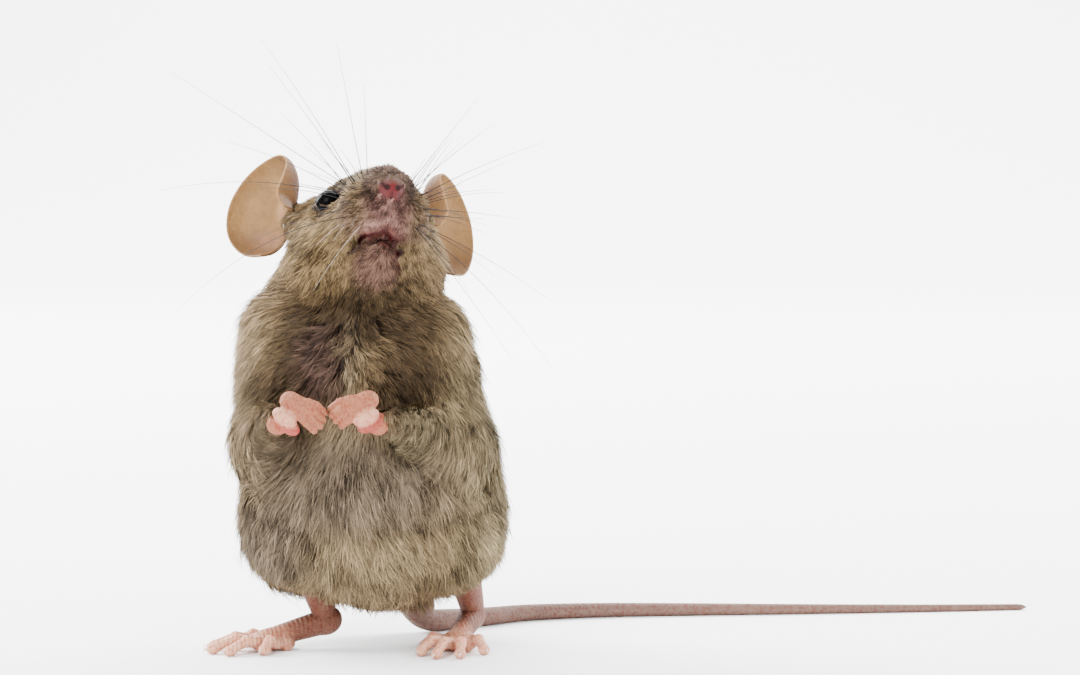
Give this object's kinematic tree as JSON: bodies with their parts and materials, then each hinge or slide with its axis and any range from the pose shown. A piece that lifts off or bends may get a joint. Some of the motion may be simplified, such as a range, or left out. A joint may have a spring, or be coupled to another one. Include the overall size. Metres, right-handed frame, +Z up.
{
  "type": "mouse",
  "caption": "Grey-brown mouse standing on its hind feet with its hands before its chest and its tail laid out behind; a still, life-size model.",
  "frame": {"origin": "middle of the model's box, on the floor", "axes": "+Z up; the mouse faces -Y and its own left side is at +X"},
  "size_m": [0.1116, 0.055, 0.0745],
  "materials": {
    "head": "short dense agouti fur, laid close, matt",
    "muzzle": "short dense agouti fur, laid close, matt",
    "neck": "short dense agouti fur, laid close, matt",
    "chest": "short dense agouti fur, laid close, matt",
    "belly": "longer, paler fur, wavy at the hem, matt",
    "rump": "short dense agouti fur, laid close, matt",
    "lower_jaw": "very short pale fur over pink skin",
    "nose": "moist bare skin",
    "whisker_pad_left": "short fur with long pale whiskers",
    "ear_left": "thin bare skin, faintly downy",
    "eye_left": "wet, glossy black",
    "upper_arm_left": "short dense agouti fur, laid close, matt",
    "forearm_left": "very short fur",
    "hand_left": "bare pink skin",
    "thigh_left": "short dense agouti fur, laid close, matt",
    "shank_left": "thinly furred skin over tendons",
    "foot_left": "bare pink skin with fine down",
    "whisker_pad_right": "short fur with long pale whiskers",
    "ear_right": "thin bare skin, faintly downy",
    "eye_right": "wet, glossy black",
    "upper_arm_right": "short dense agouti fur, laid close, matt",
    "forearm_right": "very short fur",
    "hand_right": "bare pink skin",
    "thigh_right": "short dense agouti fur, laid close, matt",
    "shank_right": "thinly furred skin over tendons",
    "foot_right": "bare pink skin with fine down",
    "tail_1": "fine rings of scales with sparse bristles",
    "tail_2": "fine rings of scales with sparse bristles",
    "tail_3": "fine rings of scales with sparse bristles",
    "tail_4": "fine rings of scales with sparse bristles",
    "tail_5": "fine rings of scales with sparse bristles"
  },
  "bodies": {
    "root": {"head": "head", "muzzle": "muzzle", "neck": "neck", "chest": "chest", "belly": "belly", "rump": "rump", "lower_jaw": "lower_jaw", "nose": "nose", "whisker_pad_left": "whisker_pad_left", "ear_left": "ear_left", "eye_left": "eye_left", "upper_arm_left": "upper_arm_left", "forearm_left": "forearm_left", "hand_left": "hand_left", "thigh_left": "thigh_left", "shank_left": "shank_left", "foot_left": "foot_left", "whisker_pad_right": "whisker_pad_right", "ear_right": "ear_right", "eye_right": "eye_right", "upper_arm_right": "upper_arm_right", "forearm_right": "forearm_right", "hand_right": "hand_right", "thigh_right": "thigh_right", "shank_right": "shank_right", "foot_right": "foot_right", "tail_1": "tail_1", "tail_2": "tail_2", "tail_3": "tail_3", "tail_4": "tail_4", "tail_5": "tail_5"}
  },
  "joints": []
}
